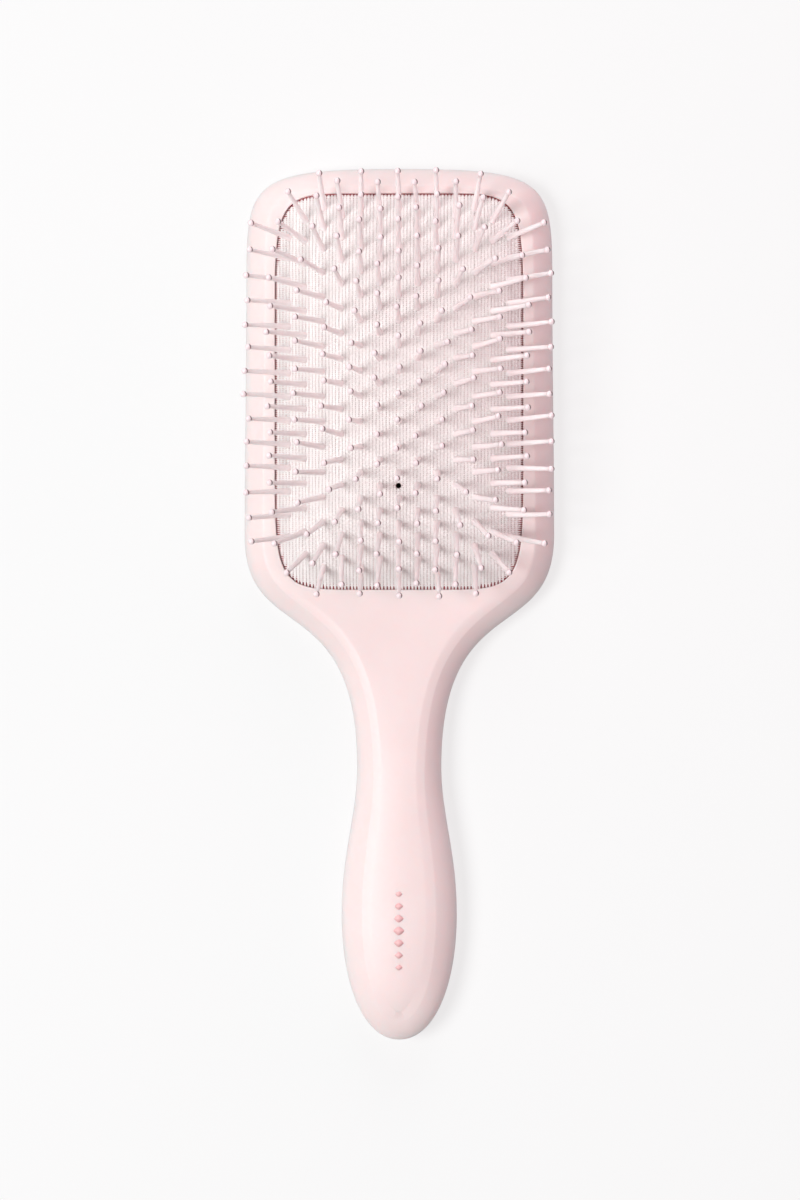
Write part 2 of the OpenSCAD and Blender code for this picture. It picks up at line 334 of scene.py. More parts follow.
# The threads' glow is painted light, which stands in for light that the weave passes
# on; the floor's glow stands in for a lit sweep. The floor glows less for the light it
# throws on the brush than for the camera.
THREAD_PAINTED_GLOW, THREAD_PAINTED_GLOW_TINT = 0.12, (1, 0.88, 0.87)
FLOOR_GLOW, FLOOR_BOUNCE = 0.72, 0.59
GRAIN_DEPTH = 0.00003
# Socket numbers of a Mix node in colour mode
MIX_FACTOR, MIX_A, MIX_B, MIX_RESULT = 0, 6, 7, 2


def node_material(name):
    material = bpy.data.materials.new(name)
    material.use_nodes = True
    tree = material.node_tree
    return material, tree, tree.nodes["Principled BSDF"]


def link(tree, a, output, b, socket):
    tree.links.new(a.outputs[output], b.inputs[socket])


def object_coords(tree):
    coords = tree.nodes.new("ShaderNodeTexCoord")
    mapping = tree.nodes.new("ShaderNodeMapping")
    link(tree, coords, "Object", mapping, "Vector")
    return mapping


def noise(tree, coords, scale, detail=2.0, rough=0.5):
    node = tree.nodes.new("ShaderNodeTexNoise")
    node.inputs["Scale"].default_value = scale
    node.inputs["Detail"].default_value = detail
    node.inputs["Roughness"].default_value = rough
    link(tree, coords, "Vector", node, "Vector")
    return node


def ramp(tree, source, output, stops):
    """Colour ramp between two stops, each (place, colour)."""
    node = tree.nodes.new("ShaderNodeValToRGB")
    for element, (place, colour) in zip(node.color_ramp.elements, stops):
        element.position = place
        element.color = (*colour, 1)
    link(tree, source, output, node, "Fac")
    return node


def value_range(tree, source, output, low, high):
    """Maps 0 to 1 onto low to high."""
    node = tree.nodes.new("ShaderNodeMapRange")
    node.inputs["To Min"].default_value = low
    node.inputs["To Max"].default_value = high
    link(tree, source, output, node, "Value")
    return node


def bump(tree, source, output, shader, strength, distance):
    node = tree.nodes.new("ShaderNodeBump")
    node.inputs["Strength"].default_value = strength
    node.inputs["Distance"].default_value = distance
    link(tree, source, output, node, "Height")
    link(tree, node, "Normal", shader, "Normal")


def soften(shader, weight, reach, spread):
    """Let light bleed under the surface: reach in metres, spread per colour."""
    shader.inputs["Subsurface Weight"].default_value = weight
    shader.inputs["Subsurface Scale"].default_value = reach
    shader.inputs["Subsurface Radius"].default_value = spread


def mottled(name, scale, tones, rough, detail=2.0, blur=0.5, ends=(0.3, 0.7)):
    """A material whose colour and roughness drift together with one noise."""
    material, tree, shader = node_material(name)
    coords = object_coords(tree)
    drift = noise(tree, coords, scale, detail, blur)
    colour = ramp(tree, drift, "Fac", list(zip(ends, tones)))
    link(tree, colour, "Color", shader, "Base Color")
    gloss = value_range(tree, drift, "Fac", *rough)
    link(tree, gloss, "Result", shader, "Roughness")
    return material, tree, shader, coords, colour


def grain(tree, coords, shader, scale, strength, detail=2.0, depth=GRAIN_DEPTH):
    """Fine bumps, with depth in metres."""
    fine = noise(tree, coords, scale, detail)
    bump(tree, fine, "Fac", shader, strength, depth)


def coat(shader, weight, rough):
    shader.inputs["Coat Weight"].default_value = weight
    shader.inputs["Coat Roughness"].default_value = rough


def mask(tree, source, output, low, high):
    """Black below low, white above high."""
    return ramp(tree, source, output, [(low, BLACK), (high, WHITE)])


def paint_material():
    """Soft-touch satin paint: faint mottle, fine grain, a dull coat."""
    material, tree, shader, coords, _ = mottled(
        "soft_touch_paint", scale=45, tones=PAINT_TONES, rough=(0.40, 0.48), detail=3)
    grain(tree, coords, shader, scale=5200, strength=0.12)
    shader.inputs["Specular IOR Level"].default_value = 0.35
    coat(shader, weight=0.05, rough=0.4)
    soften(shader, weight=0.35, reach=0.005, spread=(1, 0.4, 0.35))
    return material


def rubber_material(name, tones):
    """Matt rubber with a faint bloom."""
    material, tree, shader, coords, _ = mottled(
        name, scale=160, tones=tones, rough=(0.62, 0.8), detail=4, blur=0.6,
        ends=(0.3, 0.75))
    grain(tree, coords, shader, scale=3000, strength=0.3, detail=3, depth=0.00005)
    return material


def thread_material():
    """Fine spun threads: pale, each a little different, with twist across it, and a
    faint glow of painted light.
    """
    material, tree, shader, coords, _ = mottled(
        "woven_thread", scale=900, tones=THREAD_TONES, rough=(0.55, 0.75))
    twist = tree.nodes.new("ShaderNodeTexWave")
    twist.bands_direction = "DIAGONAL"
    twist.inputs["Scale"].default_value = 1500
    twist.inputs["Distortion"].default_value = 1.5
    link(tree, coords, "Vector", twist, "Vector")
    bump(tree, twist, "Fac", shader, strength=0.25, distance=GRAIN_DEPTH)
    shader.inputs["Sheen Weight"].default_value = 0.25
    # Emission is painted light: it brightens the weave as if light passed through it
    shader.inputs["Emission Color"].default_value = (*THREAD_PAINTED_GLOW_TINT, 1)
    shader.inputs["Emission Strength"].default_value = THREAD_PAINTED_GLOW
    soften(shader, weight=0.4, reach=0.0008, spread=(1, 0.9, 0.9))
    return material


def shaft_material():
    """Moulded nylon: slightly see-through, satin, with faint flow lines."""
    material, tree, shader, coords, _ = mottled(
        "pin_nylon", scale=420, tones=SHAFT_TONES, rough=(0.32, 0.42), detail=3)
    grain(tree, coords, shader, scale=4000, strength=0.08)
    soften(shader, weight=0.6, reach=0.0016, spread=(1, 0.8, 0.78))
    return material


def ball_material():
    """Glossy ball: pale, with a dark crescent of painted shade on the side that faces
    the shade's set direction, away from the key light.
    """
    material, tree, shader, _, pale = mottled(
        "pin_ball", scale=900, tones=BALL_TONES, rough=(0.14, 0.2))
    # Painted shade: darkens the ball's side that faces away from the key, most at
    # grazing angles
    surface = tree.nodes.new("ShaderNodeTexCoord")
    lean = tree.nodes.new("ShaderNodeVectorMath")
    lean.operation = "DOT_PRODUCT"
    lean.inputs[1].default_value = BALL_PAINTED_SHADE_WAY
    link(tree, surface, "Normal", lean, 0)
    side = mask(tree, lean, "Value", low=0.3, high=0.5)
    rim = tree.nodes.new("ShaderNodeLayerWeight")
    graze = mask(tree, rim, "Facing", low=0.15, high=0.36)
    painted_shade_mask = tree.nodes.new("ShaderNodeMath")
    painted_shade_mask.operation = "MULTIPLY"
    link(tree, side, "Color", painted_shade_mask, 0)
    link(tree, graze, "Color", painted_shade_mask, 1)
    mix = tree.nodes.new("ShaderNodeMix")
    mix.data_type = "RGBA"
    mix.inputs[MIX_B].default_value = (*BALL_PAINTED_SHADE, 1)
    link(tree, painted_shade_mask, "Value", mix, MIX_FACTOR)
    link(tree, pale, "Color", mix, MIX_A)
    link(tree, mix, MIX_RESULT, shader, "Base Color")
    coat(shader, weight=0.3, rough=0.1)
    return material


def floor_material():
    """Pale seamless sweep: part glow, so that shadows on it stay faint."""
    material, tree, shader, _, _ = mottled(
        "pale_floor", scale=3, tones=FLOOR_TONES, rough=(0.9, 0.9))
    shader.inputs["Emission Color"].default_value = (*WHITE, 1)
    path = tree.nodes.new("ShaderNodeLightPath")
    strength = value_range(tree, path, "Is Camera Ray", FLOOR_BOUNCE, FLOOR_GLOW)
    link(tree, strength, "Result", shader, "Emission Strength")
    return material


PAINT = paint_material()
RUBBER = rubber_material("pink_rubber", RUBBER_TONES)
# Painted shade: a deep red rubber material that stands in for shade in the gap round
# the cushion
RIM_PAINTED_SHADE = rubber_material("gap_rubber_painted_shade", RIM_PAINTED_SHADE_TONES)
THREAD = thread_material()
SHAFT = shaft_material()
TIP = ball_material()
INK = mottled(
    "printed_ink", scale=700, tones=INK_TONES, rough=(0.4, 0.55), detail=4, blur=0.7)[0]

# ---------------------------------------------------------------------- shells
# Shares of the edge's turn at which its loops lie: closer at the seam and crease
EDGE_SHARES = [0.02, 0.05, 0.1, 0.16, 0.24, 0.32, 0.4, 0.48, 0.56, 0.64, 0.72, 0.8,
               0.87, 0.93, 0.97]
SEAM_DEPTH = 0.14
# Above this Y the front is flat and holds the seat; below it the rows cross it
SPLIT_Y = -57.5
ACROSS = 24
# Seat: floor height, gap round the cushion, and its rounded lip
SEAT_FLOOR, SEAT_GAP = 8.2, 0.35
SEAT_LIP, LIP_STEPS = 0.3, 4
# The cushion's outline is a superellipse, and its dome falls away by another power
PLAN_POWER, DOME_POWER = 7.4, 2.7
PLAN_STEPS = 288
# The triangulation keeps all triangles inside the outer loop
CDT_INSIDE, CDT_EPSILON = 1, 1e-6
# In the CAD: the bead's reach past the dome's edge, the facing's top over the rubber
BEAD_REACH, FACING_TOP = 1.7, 0.45

facing_high = box_mm("mesh_facing")[1]
PAD_HALF = box_mm("cushion_pad")[1][:2] - BEAD_REACH
FACING_HALF = facing_high[:2]
RIM_DEPTH, RUBBER_T = 1, 1.8
RIM_Z = HEAD_FACE - RIM_DEPTH
DOME_HEIGHT = facing_high[2] - FACING_TOP - RIM_Z


def plan_level(x, y, half):
    """Below 1 inside the outline with these half widths, above 1 outside it."""
    return (np.abs(x) / half[0]) ** PLAN_POWER + (np.abs(y) / half[1]) ** PLAN_POWER


def plan(half, steps=PLAN_STEPS):
    """Loop of points round the outline, clockwise from the head end."""
    t = math.pi / 2 - 2 * math.pi * np.arange(steps) / steps
    c, s = np.cos(t), np.sin(t)
    reach = (np.abs(c) ** PLAN_POWER + np.abs(s) ** PLAN_POWER) ** (1 / PLAN_POWER)
    return np.column_stack([half[0] * c / reach, half[1] * s / reach])


def loop_at(flat, z):
    return np.column_stack([flat, np.full(len(flat), z)])


def edge_loops(build, sign):
    """Loops round the edge, from the seam to just short of the crease."""
    y = POINTS[:, 1]
    join = parting(y)
    end = front_edge_z(y) if sign > 0 else back_edge_z(y)
    loops = [build.add(skin_loop(SEAM_DEPTH, join))]
    for share in EDGE_SHARES:
        inward, upward = edge_point(sign, share * (1 - HANDLE_EASE * SOFT))
        height = join + (end - join) * upward
        loops.append(build.add(skin_loop(edge_width(y) * inward, height)))
    return loops


def crossing_rows(build, first_station, sign):
    """Rows across the crown from each station's right crease to its left one."""
    y = POINTS[:, 1]
    crown = (FRONT_CROWN if sign > 0 else BACK_CROWN) * CROWN_SHARE
    edge = front_edge_z(y) if sign > 0 else back_edge_z(y)
    u = np.linspace(1, -1, ACROSS + 1)
    rows = []
    for i in range(first_station, LAST):
        z = edge[i] + sign * crown[i] * (1 - u**2)
        rows.append(build.add(np.column_stack([
            CREST[i, 0] * u, np.full(len(u), CREST[i, 1]), z])))
    tip = build.add([[0, CREST[LAST, 1], edge[LAST]]])
    return rows, tip


def join_rows(build, rows, tip, sign):
    """Faces between the crossing rows, and from the last one to the tip."""
    for a, b in zip(rows, rows[1:]):
        for k in range(ACROSS):
            quad = (a + k, b + k, b + k + 1, a + k + 1)
            build.face(*(quad[::-1] if sign > 0 else quad))
    for k in range(ACROSS):
        tri = (rows[-1] + k, tip, rows[-1] + k + 1)
        build.face(*(tri[::-1] if sign > 0 else tri))


def join_crease(build, loop, rows, tip, first_station, sign):
    """Quads between the last edge loop and the ends of the crossing rows."""
    n = 2 * LAST
    for i in range(first_station, LAST):
        last = i + 1 == LAST
        for side in (0, ACROSS):
            a = loop + (i if side == 0 else (n - i) % n)
            b = loop + (i + 1 if side == 0 else (n - i - 1) % n)
            c = tip if last else rows[i + 1 - first_station] + side
            d = rows[i - first_station] + side
            quad = (a, b, c, d)
            if (side == 0) != (sign > 0):
                quad = quad[::-1]
            build.face(*quad[::-1])


def back_shell_mesh():
    build = Builder()
    loops = edge_loops(build, -1)
    n = 2 * LAST
    for a, b in zip(loops, loops[1:]):
        build.band(a, b, n)
    rows, tip = crossing_rows(build, 1, -1)
    join_rows(build, rows, tip, -1)
    join_crease(build, loops[-1], rows, tip, 1, -1)
    top = build.add([[0, CREST[0, 1], back_edge_z(HEAD_END)]])
    for k in range(ACROSS):
        build.face(top, rows[0] + k, rows[0] + k + 1)
    build.face(loops[-1], loops[-1] + 1, rows[0], top)
    build.face(loops[-1], top, rows[0] + ACROSS, loops[-1] + n - 1)
    build.strips(loops[0], n, True)
    return build


def front_shell_mesh():
    build = Builder()
    loops = edge_loops(build, 1)
    n = 2 * LAST
    for a, b in zip(loops, loops[1:]):
        build.band(b, a, n)
    split = int(np.argmax(CREST[:, 1] < SPLIT_Y))
    rows, tip = crossing_rows(build, split, 1)
    join_rows(build, rows, tip, 1)
    join_crease(build, loops[-1], rows, tip, split, 1)

    # Lip loop on the flat face, just inside the crease, round the head
    flat = CREST[:split]
    right = build.add(loop_at(flat, HEAD_FACE))
    mirror = flat[1:].copy()
    mirror[:, 0] *= -1
    left = build.add(loop_at(mirror, HEAD_FACE))
    lip_right = [right + i for i in range(split)] + [rows[0]]
    lip_left = [right] + [left + i for i in range(split - 1)] + [rows[0] + ACROSS]
    for i in range(split):
        a, b = loops[-1] + i, loops[-1] + i + 1
        build.face(b, a, lip_right[i], lip_right[i + 1])
        a, b = loops[-1] + (n - i) % n, loops[-1] + (n - i - 1) % n
        build.face(a, b, lip_left[i + 1], lip_left[i])

    # Seat: a small rounded lip, the wall and a floor under the rubber
    seat_half = PAD_HALF + SEAT_GAP
    rim = [build.add(loop_at(plan(seat_half + SEAT_LIP), HEAD_FACE))]
    for k in range(1, LIP_STEPS + 1):
        a = math.pi / 2 * k / LIP_STEPS
        rim.append(build.add(loop_at(
            plan(seat_half + SEAT_LIP * (1 - math.sin(a))),
            HEAD_FACE - SEAT_LIP * (1 - math.cos(a)))))
    rim.append(build.add(loop_at(plan(seat_half), SEAT_FLOOR)))
    for a, b in zip(rim, rim[1:]):
        build.band(b, a, PLAN_STEPS)
    build.cap(rim[-1], PLAN_STEPS, reverse=True)

    # Flat face between the lip loop and the seat
    outer = lip_left[::-1] + lip_right[1:]
    outer += [rows[0] + k for k in range(1, ACROSS)]
    inner = [rim[0] + i for i in range(PLAN_STEPS)]
    every = np.vstack(build.points)
    ids = outer + inner
    flat = [Vector(every[i][:2]) for i in ids]
    edges = [(i, (i + 1) % len(outer)) for i in range(len(outer))]
    edges += [(len(outer) + i, len(outer) + (i + 1) % len(inner))
              for i in range(len(inner))]
    faces, origin = delaunay_2d_cdt(flat, edges, [], CDT_INSIDE, CDT_EPSILON)[2:4]
    for f in faces:
        corners = [ids[origin[v][0]] for v in f]
        middle = every[corners][:, :2].mean(0)
        if plan_level(*middle, seat_half + SEAT_LIP) < 1:
            continue
        a, b, c = every[corners[0]], every[corners[1]], every[corners[2]]
        turn = np.cross((b - a)[:2], (c - a)[:2])
        build.face(*(corners if turn > 0 else corners[::-1]))
    build.strips(loops[0], n, False)
    return build


front_shell_mesh().build(
    "body_front", [PAINT], ROOT, "body", ["front_shell"], normals=True)
back_shell_mesh().build(
    "body_back", [PAINT], ROOT, "body", ["back_shell"], normals=True)


# --------------------------------------------------------------------- cushion
LOOP_STEPS = 192
# Step over which the dome's slope is measured
SLOPE_STEP = 0.05
# Loops over the dome, packed closer towards its rim
LEVEL_COUNT, LEVEL_EASE = 44, 1.25
DOME_LEVELS = 1 - (1 - np.linspace(0, 1, LEVEL_COUNT)[1:]) ** LEVEL_EASE
# The inside takes every third of them
INSIDE_STRIDE = 3
# From this loop to the rim's foot the rubber takes the darker painted shade colour,
# where it falls into the gap's shade
PAINTED_SHADE_FROM = 40
RIM_DROP = 0.5
# The bead's section: reach past the dome's edge, and height over the rim
BEAD_SECTION = [(-2.4, -2.7), (-2.4, -1.9), (0, -1.9), (0, -0.45), (0.3, -0.45),
                (0.33, -2.0), (0.3, -2.7)]
VENT, VENT_R, VENT_SIDES = np.array([0, -26.7]), 0.75, 32
# Heights over the rim between which the vent's cutter runs
CUTTER_SPAN = 5, 20


def dome_at(level):
    return DOME_HEIGHT * (1 - level**DOME_POWER)


def dome(x, y):
    """Height of the rubber over its rim."""
    return dome_at(np.minimum(1, plan_level(x, y, PAD_HALF) ** (1 / PLAN_POWER)))


def dome_normal(x, y):
    e = SLOPE_STEP
    n = np.column_stack([
        (dome(x - e, y) - dome(x + e, y)) / (2 * e),
        (dome(x, y - e) - dome(x, y + e)) / (2 * e),
        np.ones(len(x))])
    return n / np.linalg.norm(n, axis=1)[:, None]


def cut_away(obj, cutter):
    """Takes the cutter's shape out of the object's mesh."""
    cut = obj.modifiers.new("vent", "BOOLEAN")
    cut.operation = "DIFFERENCE"
    cut.solver = "EXACT"
    cut.object = cutter
    bpy.context.view_layer.update()
    graph = bpy.context.evaluated_depsgraph_get()
    mesh = bpy.data.meshes.new_from_object(obj.evaluated_get(graph))
    obj.modifiers.clear()
    obj.data = mesh
    bpy.data.objects.remove(cutter)


def circle(sides):
    t = 2 * math.pi * np.arange(sides) / sides
    return np.cos(t), np.sin(t)


def vent_cutter():
    build = Builder()
    ring = VENT + VENT_R * np.column_stack(circle(VENT_SIDES))
    low, high = (build.add(loop_at(ring, RIM_Z + z)) for z in CUTTER_SPAN)
    build.band(low, high, VENT_SIDES)
    build.cap(low, VENT_SIDES, reverse=True)
    build.cap(high, VENT_SIDES)
    return add_object("cutter", build.mesh("cutter"))


def cushion_mesh():
    """The domed rubber sheet: outside, upright rim and inside."""
    build = Builder()
    rings = [(level, dome_at(level)) for level in DOME_LEVELS]
    rings += [(1, -RIM_DROP), (1, -RUBBER_T)]
    rings += [(level, dome_at(level) - RUBBER_T)
              for level in DOME_LEVELS[:-1][::-INSIDE_STRIDE]]
    loops = [build.add(loop_at(plan(PAD_HALF * level, LOOP_STEPS), RIM_Z + z))
             for level, z in rings]
    top = build.add([[0, 0, RIM_Z + DOME_HEIGHT]])
    low = build.add([[0, 0, RIM_Z + DOME_HEIGHT - RUBBER_T]])
    for k, (a, b) in enumerate(zip(loops, loops[1:])):
        # Bands near the rim and down into the gap get the painted shade material
        in_painted_shade = PAINTED_SHADE_FROM <= k <= len(DOME_LEVELS)
        build.band(a, b, LOOP_STEPS, slot=1 if in_painted_shade else 0)
    build.fan(loops[0], LOOP_STEPS, top, reverse=True)
    build.fan(loops[-1], LOOP_STEPS, low)
    return build


def bead_mesh():
    """The rubber bead that sits in the seat's groove."""
    build = Builder()
    loops = [build.add(loop_at(plan(PAD_HALF + r, LOOP_STEPS), RIM_Z + z))
             for r, z in BEAD_SECTION]
    for a, b in zip(loops, loops[1:] + loops[:1]):
        build.band(b, a, LOOP_STEPS)
    return build


rubber = cushion_mesh().build(
    "cushion_dome", [RUBBER, RIM_PAINTED_SHADE], ROOT, "rubber", ["cushion_pad"])
cut_away(rubber, vent_cutter())
# The bead, down in the gap, is coloured all over with the painted shade
bead_mesh().build("cushion_bead", [RIM_PAINTED_SHADE], ROOT, "rubber")

# ------------------------------------------------------------ pins of the frame
# How deep a slice at a pin's flat end and at its ball gives a point on its axis
AXIS_PASSES, FLAT_END, ROUND_END = 3, 0.05, 1.2
FLANGE_T, PIN_LENGTH = 0.7, 19.0


def merged_parts(node):
    """Point sets of the separate solids in a CAD node, in millimetres.

    Points at one place are joined, and each point then takes the lowest label
    it's linked to until nothing changes.
    """
    mesh = frame["nodes"][node].data
    co = np.zeros(len(mesh.vertices) * 3)
    mesh.vertices.foreach_get("co", co)
    co = co.reshape(-1, 3) / MM
    edges = np.zeros(len(mesh.edges) * 2, int)
    mesh.edges.foreach_get("vertices", edges)
    _, same = np.unique(np.round(co, 4), axis=0, return_inverse=True)
    same = same.ravel()
    a, b = same[edges.reshape(-1, 2)].T
    label = np.arange(same.max() + 1)
    while True:
        low = np.minimum(label[a], label[b])
        new = label.copy()
        np.minimum.at(new, a, low)
        np.minimum.at(new, b, low)
        new = new[new]
        if np.array_equal(new, label):
            break
        label = new
    owner = label[same]
    return [co[owner == k] for k in np.unique(owner)]


def pin_line(points):
    """Root end, tip end and axis of one pin."""
    middle = points.mean(0)
    axis = np.linalg.svd(points - middle, full_matrices=False)[2][0]
    axis = axis * np.sign(axis[2])
    for _ in range(AXIS_PASSES):
        along = (points - middle) @ axis
        low = points[along < along.min() + FLAT_END].mean(0)
        high = points[along > along.max() - ROUND_END].mean(0)
        axis = (high - low) / np.linalg.norm(high - low)
    along = (points - low) @ axis
    return low, low + axis * along.max(), axis


pin_groups = {
    body: [pin_line(p) for n in nodes for p in merged_parts(n)]
    for body, nodes in frame["record"]["behaviour"]["bodies"].items()
    if body != ROOT
}
# Where each pin leaves the rubber
PIN_ROOTS = np.array([
    high - axis * PIN_LENGTH for pins in pin_groups.values() for _, high, axis in pins])

# ---------------------------------------------------------------- woven facing
# The warp runs along the brush (axis 1) and shows as ribs; the finer weft runs
# across it (axis 0). Distance between threads, by the axis they run along:
PITCH = 0.56, 0.94
# Each thread: half width, and its section as [across, up] points
WARP = 0.41, [(0.41, 0), (0.24, 0.07), (-0.24, 0.07), (-0.41, 0),
              (-0.24, -0.08), (0.24, -0.08)]
WEFT = 0.225, [(0.225, 0), (0, 0.065), (-0.225, 0), (0, -0.065)]
# How far each rises and dips at a crossing, and how deep the weft lies
WARP_WAVE, WEFT_WAVE = 0.045, 0.075
WEFT_SINK = 0.03
# Threads stop this share of a crossing short of the edge, before they tuck in
END_GAP = 0.2
# Sideways sway of a thread: height, waves along it, shift to the next, and stray
SWAY, SWAY_TURN, SWAY_STEP, STRAY = 0.03, 0.9, 1.7, 0.02
# Facing's middle over the rubber, and the mound round each pin
FACING_LIFT = 0.26
MOUND_H, MOUND_R = 0.3, 1.35
# Where a thread's end goes into the gap: reach past the dome's edge, and height
TUCK = [(-0.2, -0.2), (0.18, -0.9)]
TUCK_NARROW = 0.66
TUCK_SHIFT = (0, -0.12)
TUCK_MAX = 1.2
# A thread counts as tucked in from this level of the outline on
AT_EDGE = 0.999
# Points handled at a time, so that the distance table to all pins stays small
BATCH = 4000


def fabric_lift(x, y):
    """Height of the facing's middle over the rim, raised in a mound at each pin."""
    z = dome(x, y) + FACING_LIFT
    for start in range(0, len(x), BATCH):
        part = slice(start, start + BATCH)
        gap = ((x[part, None] - PIN_ROOTS[None, :, 0]) ** 2
               + (y[part, None] - PIN_ROOTS[None, :, 1]) ** 2)
        z[part] += MOUND_H * np.exp(-gap / MOUND_R**2).sum(1)
    return z


def reach_along(offset, half_across, half_along):
    """How far a thread at this offset runs before it meets the facing's edge."""
    share = np.clip(1 - (abs(offset) / half_across) ** PLAN_POWER, 0, 1)
    return half_along * share ** (1 / PLAN_POWER)


def thread_lines():
    """All threads, warp (axis 1) then weft (axis 0), seen from above.

    Each is (x, y, +1 over or -1 under at each crossing, axis, reach of its tucks).
    """
    lines = []
    for axis in (1, 0):
        pitch, cross = PITCH[axis], PITCH[1 - axis]
        half_across, half_along = FACING_HALF[1 - axis], FACING_HALF[axis]
        count = int(half_across / pitch)
        for i in range(-count, count + 1):
            offset = i * pitch
            reach = reach_along(offset, half_across, half_along)
            steps = int((reach - END_GAP * cross) / cross)
            if steps < 1:
                continue
            j = np.arange(-steps, steps + 1)
            sign = np.where((i + j) % 2 == 0, 1.0, -1.0) * (1 if axis else -1)
            along = j * cross
            along = np.concatenate([[-reach], along, [reach]])
            sign = np.concatenate([[0], sign, [0]])
            sway = SWAY * np.sin(along * SWAY_TURN + i * SWAY_STEP)
            across = offset + (sway + STRAY * rng.standard_normal())
            x, y = (across, along) if axis else (along, across)
            tuck = [min(reach + TUCK_MAX, reach_along(
                offset, PAD_HALF[1 - axis] + out, PAD_HALF[axis] + out))
                for out, _ in TUCK]
            lines.append((x, y, sign, axis, tuck))
    return lines


def round_vent(path, up, axis, half_w):
    """The thread's path and normals, cut in two where it crosses the vent."""
    middle = path[len(path) // 2, 1 - axis]
    miss = max(0, abs(middle - VENT[1 - axis]) - half_w)
    if miss >= VENT_R:
        return [(path, up)]
    half = math.sqrt(VENT_R**2 - miss**2)
    parts = []
    for way, end in ((-1, VENT[axis] - half), (1, VENT[axis] + half)):
        keep = (path[:, axis] - end) * way > 0
        rim = np.array([[np.interp(end, path[:, axis], path[:, k]) for k in range(3)]])
        stack = (path[keep], rim) if way < 0 else (rim, path[keep])
        lean = (up[keep], up[keep][-1:]) if way < 0 else (up[keep][:1], up[keep])
        parts.append((np.vstack(stack), np.vstack(lean)))
    return parts


def taper(path):
    """Threads draw in where they tuck into the gap, so the rubber shows between."""
    level = plan_level(path[:, 0], path[:, 1], PAD_HALF + TUCK[0][0])
    return np.where(level >= AT_EDGE, TUCK_NARROW, 1.0)[:, None]


def weave_mesh():
    build = Builder()
    for x, y, sign, axis, tuck in thread_lines():
        normal = dome_normal(x, y)
        centre = np.column_stack([x, y, RIM_Z + fabric_lift(x, y)])
        rise = sign * WARP_WAVE if axis else sign * WEFT_WAVE - WEFT_SINK
        centre += normal * rise[:, None]
        # Both ends tuck down into the gap
        for end, way in ((0, -1), (-1, 1)):
            extra, extra_n = [], []
            for place, (_, down) in zip(tuck, TUCK):
                p = centre[end].copy()
                p[axis] = way * place + TUCK_SHIFT[axis]
                p[2] += down
                extra.append(p)
                extra_n.append(normal[end])
            if end == 0:
                centre = np.vstack([extra[::-1], centre])
                normal = np.vstack([extra_n[::-1], normal])
            else:
                centre = np.vstack([centre, extra])
                normal = np.vstack([normal, extra_n])
        half_w, section = WARP if axis else WEFT
        for path, up in round_vent(centre, normal, axis, half_w):
            along = np.gradient(path, axis=0)
            along /= np.linalg.norm(along, axis=1)[:, None]
            side = np.cross(along, up)
            side /= np.linalg.norm(side, axis=1)[:, None]
            over = np.cross(side, along)
            width = taper(path)
            corners = [path + side * width * a + over * b for a, b in section]
            rings = np.stack(corners, axis=1).reshape(-1, 3)
            first, n = build.add(rings), len(section)
            for k in range(len(path) - 1):
                build.band(first + n * k, first + n * (k + 1), n)
            build.cap(first, n, reverse=True)
            build.cap(first + n * (len(path) - 1), n)
    return build


weave = weave_mesh().build("woven_facing", [THREAD], ROOT, "mesh", ["mesh_facing"])

# ------------------------------------------------------------------------ pins
ROOT_R, NECK_R, BALL_R, FLANGE_R = 0.85, 0.575, 0.9, 1.6
PIN_SIDES = 14
# Collar at the rubber: [radius over the shaft's, height over the rubber]
COLLAR = [(0, -0.1), (0.12, 0.3), (0.02, 1.3)]
SHAFT_SHARES = 0.25, 0.45, 0.65, 0.85
# The ball's rings stop short of its top, which a small cap closes
BALL_RINGS, BALL_STEPS = 7, 6.6
# A direction no pin has, from which its sides are worked out
ALMOST_Y = 0, 1, 0.01
# Spread of the random lean, in radians, and of the bend at the tip
LEAN_SPREAD, BEND_SPREAD = math.radians(1.0), 0.25


def pin_profile(length):
    """[radius, distance from the flange's underside, material] up the pin."""
    base = length - PIN_LENGTH
    ball_at = length - BALL_R
    rows = [(FLANGE_R, 0, 0), (FLANGE_R, FLANGE_T, 0), (ROOT_R, FLANGE_T, 0)]
    rows += [(ROOT_R + out, base + up, 0) for out, up in COLLAR]
    rows += [(ROOT_R + (NECK_R - ROOT_R) * share, base + (ball_at - base) * share, 0)
             for share in SHAFT_SHARES]
    sweep = math.pi - math.asin(NECK_R / BALL_R)
    for k in range(BALL_RINGS):
        a = sweep - sweep * k / BALL_STEPS
        # The band up to the first ring is still shaft
        rows.append((BALL_R * math.sin(a), ball_at + BALL_R * math.cos(a), min(k, 1)))
    return rows


def pin_group_mesh(pins):
    """One body's pins, each with a small lean and bend of its own."""
    build = Builder()
    cos, sin = circle(PIN_SIDES)
    for low, high, axis in pins:
        length = np.linalg.norm(high - low)
        side = np.cross(axis, ALMOST_Y)
        side /= np.linalg.norm(side)
        front_way = np.cross(axis, side)
        lean = rng.normal(0, LEAN_SPREAD, 2)
        bend = rng.normal(0, BEND_SPREAD, 2)
        starts, slots = [], []
        for radius, along, slot in pin_profile(length):
            over = max(0.0, along - (length - PIN_LENGTH))
            share = over / PIN_LENGTH
            shift = lean * over + bend * share * share
            centre = low + axis * along + side * shift[0] + front_way * shift[1]
            starts.append(build.add(centre + radius * (
                np.outer(cos, side) + np.outer(sin, front_way))))
            slots.append(slot)
        for a, b, slot in zip(starts, starts[1:], slots[1:]):
            build.band(b, a, PIN_SIDES, slot=slot)
        build.cap(starts[0], PIN_SIDES)
        build.cap(starts[-1], PIN_SIDES, reverse=True, slot=1)
    return build


